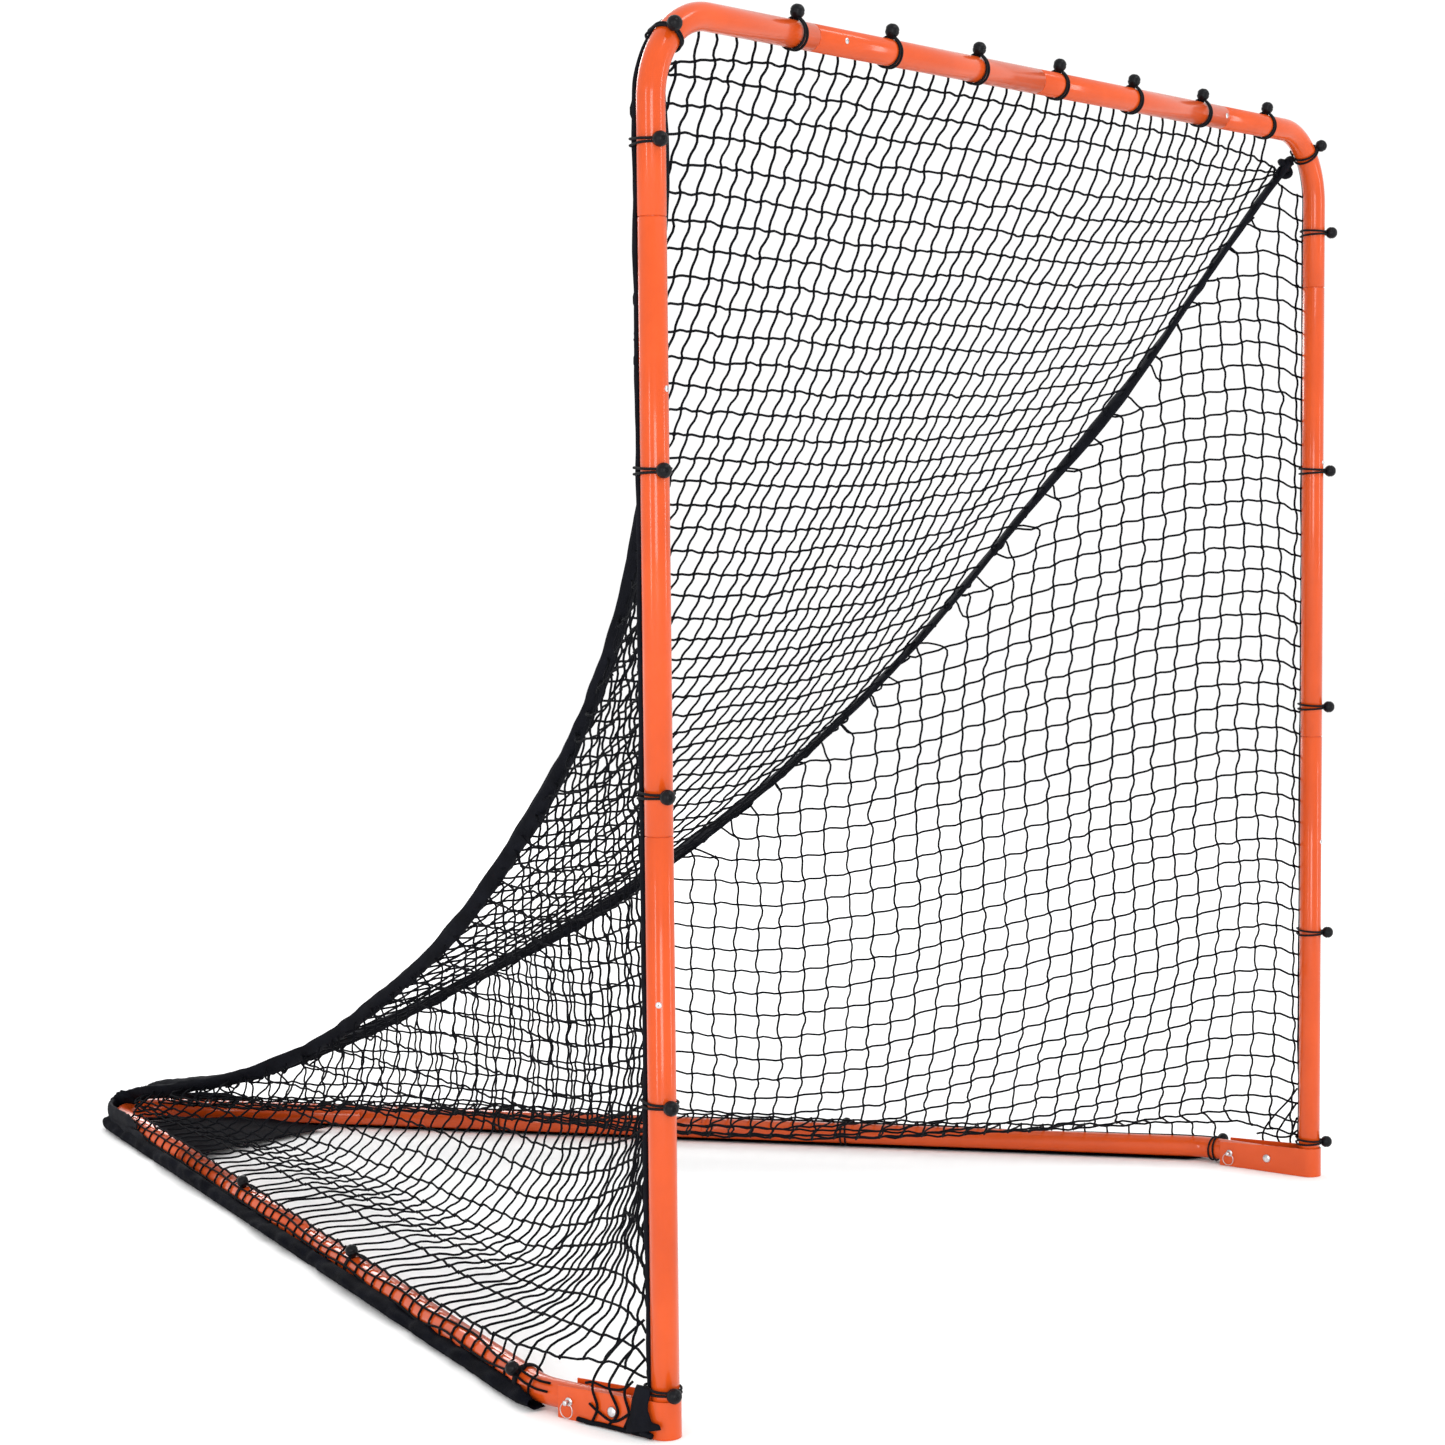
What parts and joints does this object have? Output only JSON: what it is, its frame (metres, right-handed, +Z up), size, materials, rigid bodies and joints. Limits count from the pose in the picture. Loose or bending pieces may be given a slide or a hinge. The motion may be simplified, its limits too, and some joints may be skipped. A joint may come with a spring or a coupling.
{
  "type": "lacrosse goal",
  "caption": "Folding lacrosse goal: square tube mouth, V-shaped floor frame hinged at the feet, lock pins with pull rings, and a knotted net tied on with ball bungees.",
  "frame": {"origin": "on the floor, below the centre of the goal's bounding box", "axes": "+X along the crossbar, +Y from the mouth back to the rear corner, +Z up; the mouth faces -Y"},
  "size_m": [1.9363, 2.2069, 1.9069],
  "materials": {
    "orange_paint": "gloss",
    "zinc": "satin",
    "net_twine": "matte",
    "webbing": "matte",
    "bungee": "satin"
  },
  "bodies": {
    "front_frame": {"back_net": "net_twine", "bungee_corner_left": "bungee", "bungee_corner_right": "bungee", "bungee_crossbar_1": "bungee", "bungee_crossbar_2": "bungee", "bungee_crossbar_3": "bungee", "bungee_crossbar_4": "bungee", "bungee_crossbar_5": "bungee", "bungee_crossbar_6": "bungee", "bungee_crossbar_7": "bungee", "bungee_post_left_1": "bungee", "bungee_post_left_2": "bungee", "bungee_post_left_3": "bungee", "bungee_post_left_4": "bungee", "bungee_post_left_5": "bungee", "bungee_post_right_1": "bungee", "bungee_post_right_2": "bungee", "bungee_post_right_3": "bungee", "bungee_post_right_4": "bungee", "bungee_post_right_5": "bungee", "corner_tube_left": "orange_paint", "corner_tube_right": "orange_paint", "crossbar_left": "orange_paint", "crossbar_right": "orange_paint", "hinge_bracket_left": "orange_paint", "hinge_bracket_right": "orange_paint", "lower_post_left": "orange_paint", "lower_post_right": "orange_paint", "net_edge_cord": "webbing", "pivot_bolt_left": "zinc", "pivot_bolt_right": "zinc", "pivot_nut_left": "zinc", "pivot_nut_right": "zinc", "seam_binding_left": "webbing", "seam_binding_right": "webbing", "side_net_left": "net_twine", "side_net_right": "net_twine", "upper_post_left": "orange_paint", "upper_post_right": "orange_paint"},
    "base_frame": {"bungee_floor_left_front": "bungee", "bungee_floor_left_middle": "bungee", "bungee_floor_left_rear": "bungee", "bungee_floor_right_front": "bungee", "bungee_floor_right_middle": "bungee", "bungee_floor_right_rear": "bungee", "corner_patch": "webbing", "floor_front_tube_left": "orange_paint", "floor_front_tube_right": "orange_paint", "floor_hem": "webbing", "floor_middle_tube_left": "orange_paint", "floor_middle_tube_right": "orange_paint", "rear_corner_tube": "orange_paint"},
    "lock_pin_left": {"lock_pin_left": "zinc"},
    "pull_ring_left": {"pull_ring_left": "zinc"},
    "lock_pin_right": {"lock_pin_right": "zinc"},
    "pull_ring_right": {"pull_ring_right": "zinc"}
  },
  "joints": [
    {"name": "frame_fold", "type": "hinge", "parent": "front_frame", "child": "base_frame", "pos_m": [0, -0.9925, 0.0245], "axis": [1, 0, 0], "range_deg": [0, 90], "deforming": ["back_net", "side_net_left", "side_net_right", "seam_binding_left", "seam_binding_right"]},
    {"name": "lock_pin_slide_left", "type": "slide", "parent": "front_frame", "child": "lock_pin_left", "axis": [-1, 0, 0], "range_m": [0, 0.06]},
    {"name": "pull_ring_swing_left", "type": "hinge", "parent": "lock_pin_left", "child": "pull_ring_left", "pos_m": [-0.961, -0.9165, 0.0245], "axis": [0, 1, 0], "range_deg": [-10, 110]},
    {"name": "lock_pin_slide_right", "type": "slide", "parent": "front_frame", "child": "lock_pin_right", "axis": [-1, 0, 0], "range_m": [0, 0.06]},
    {"name": "pull_ring_swing_right", "type": "hinge", "parent": "lock_pin_right", "child": "pull_ring_right", "pos_m": [0.906, -0.9165, 0.0245], "axis": [0, 1, 0], "range_deg": [-10, 110]}
  ]
}
